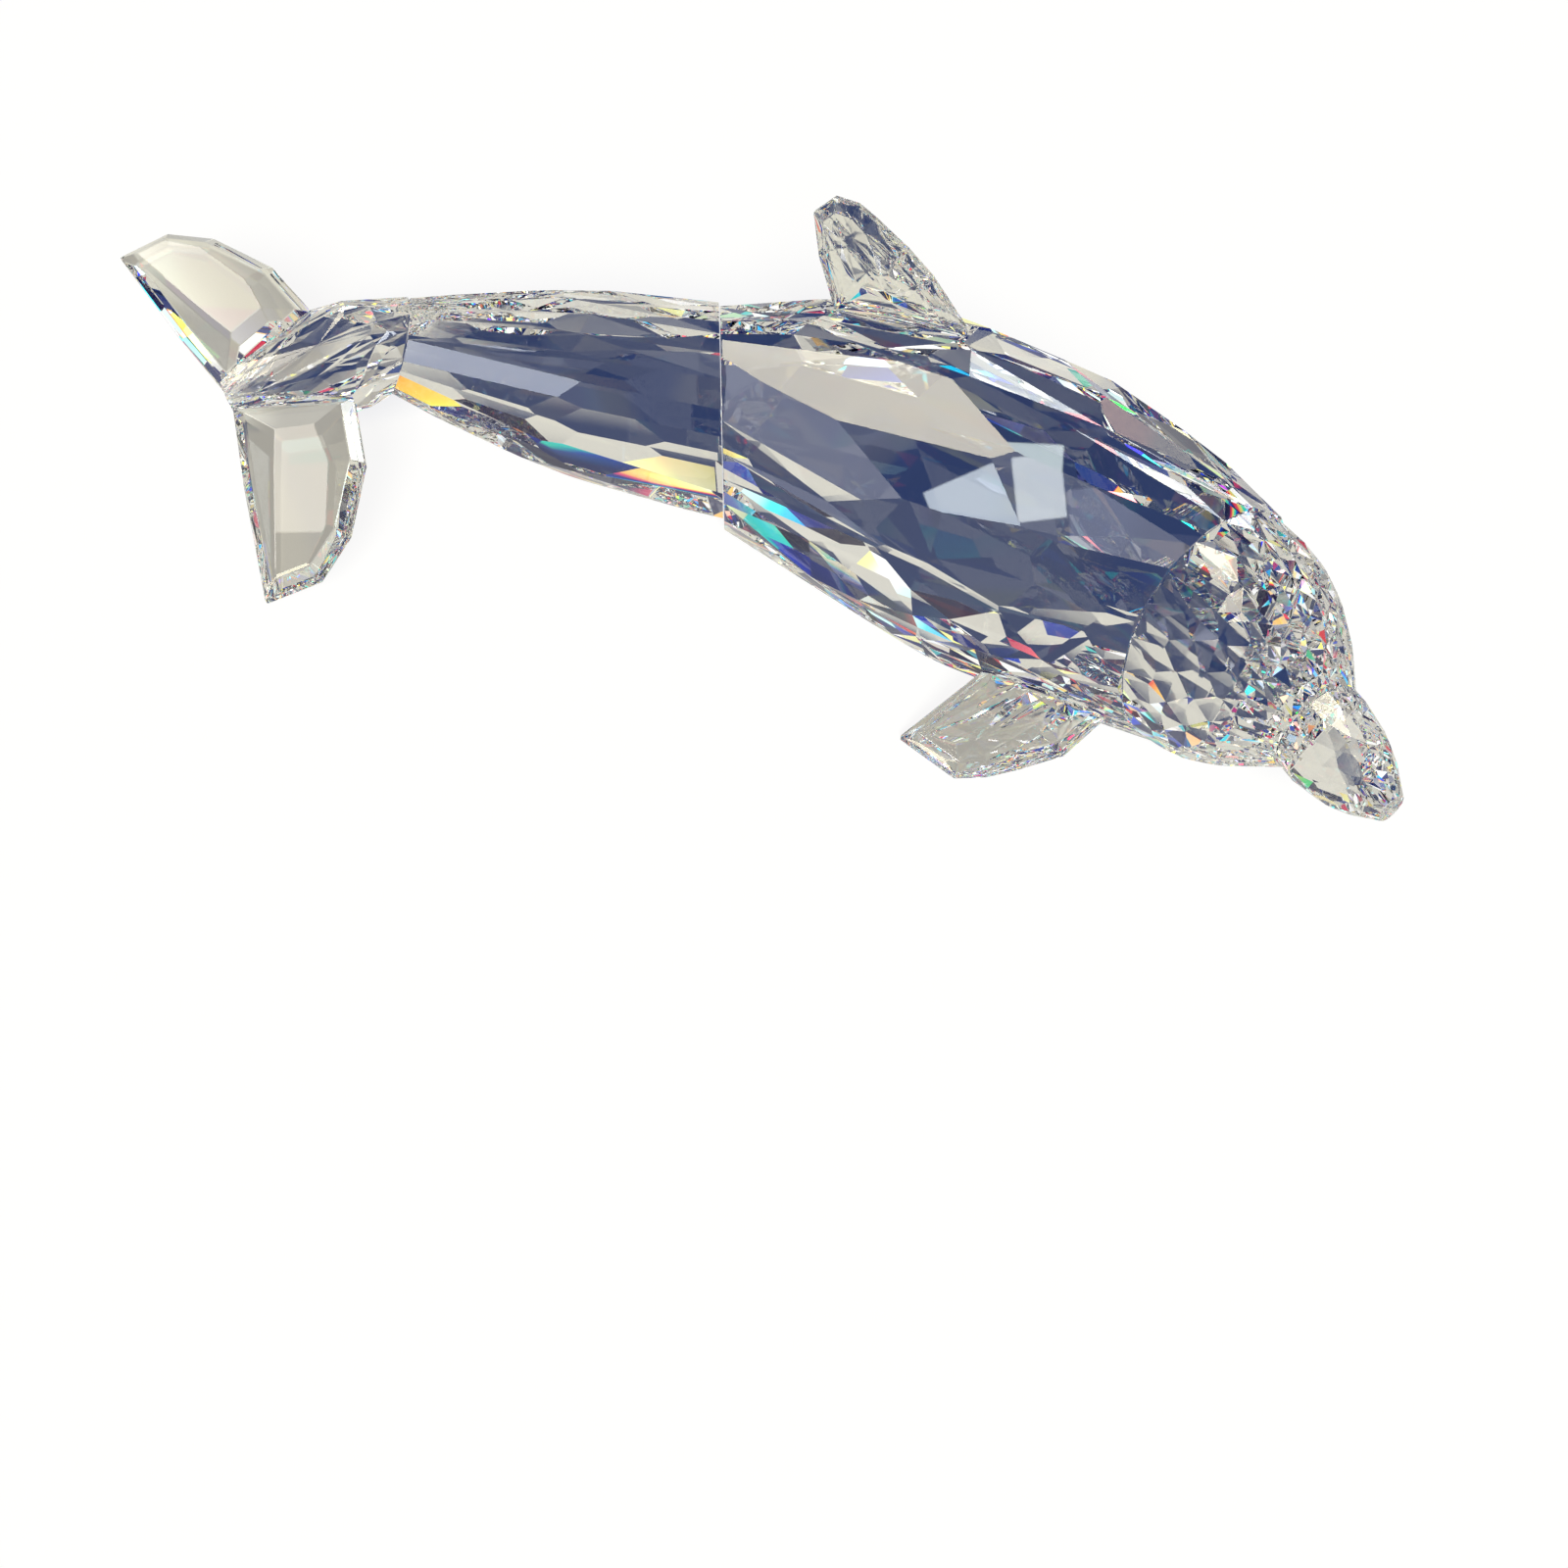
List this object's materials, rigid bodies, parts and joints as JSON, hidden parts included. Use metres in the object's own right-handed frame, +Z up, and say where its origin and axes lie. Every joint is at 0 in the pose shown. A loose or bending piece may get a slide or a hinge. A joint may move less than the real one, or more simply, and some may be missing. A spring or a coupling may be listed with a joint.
{
  "type": "dolphin figurine",
  "caption": "Faceted clear crystal dolphin in a curved swimming pose, with bonded fins and tail flukes, resting on a flat belly facet.",
  "frame": {"origin": "centre of the bounding box's footprint, on the table plane of the belly facet", "axes": "+X along the tail stock and body towards the head's side, the longest extent; +Y towards the dolphin's left; +Z up from the table"},
  "size_m": [0.1378, 0.0606, 0.0432],
  "materials": {
    "crystal": "polished, cut in flat facets"
  },
  "bodies": {
    "root": {"main_body": "crystal", "tail_stock": "crystal", "tail_hub": "crystal", "left_fluke": "crystal", "right_fluke": "crystal", "head": "crystal", "beak": "crystal", "dorsal_fin": "crystal", "left_pectoral_fin": "crystal", "right_pectoral_fin": "crystal"}
  },
  "joints": []
}
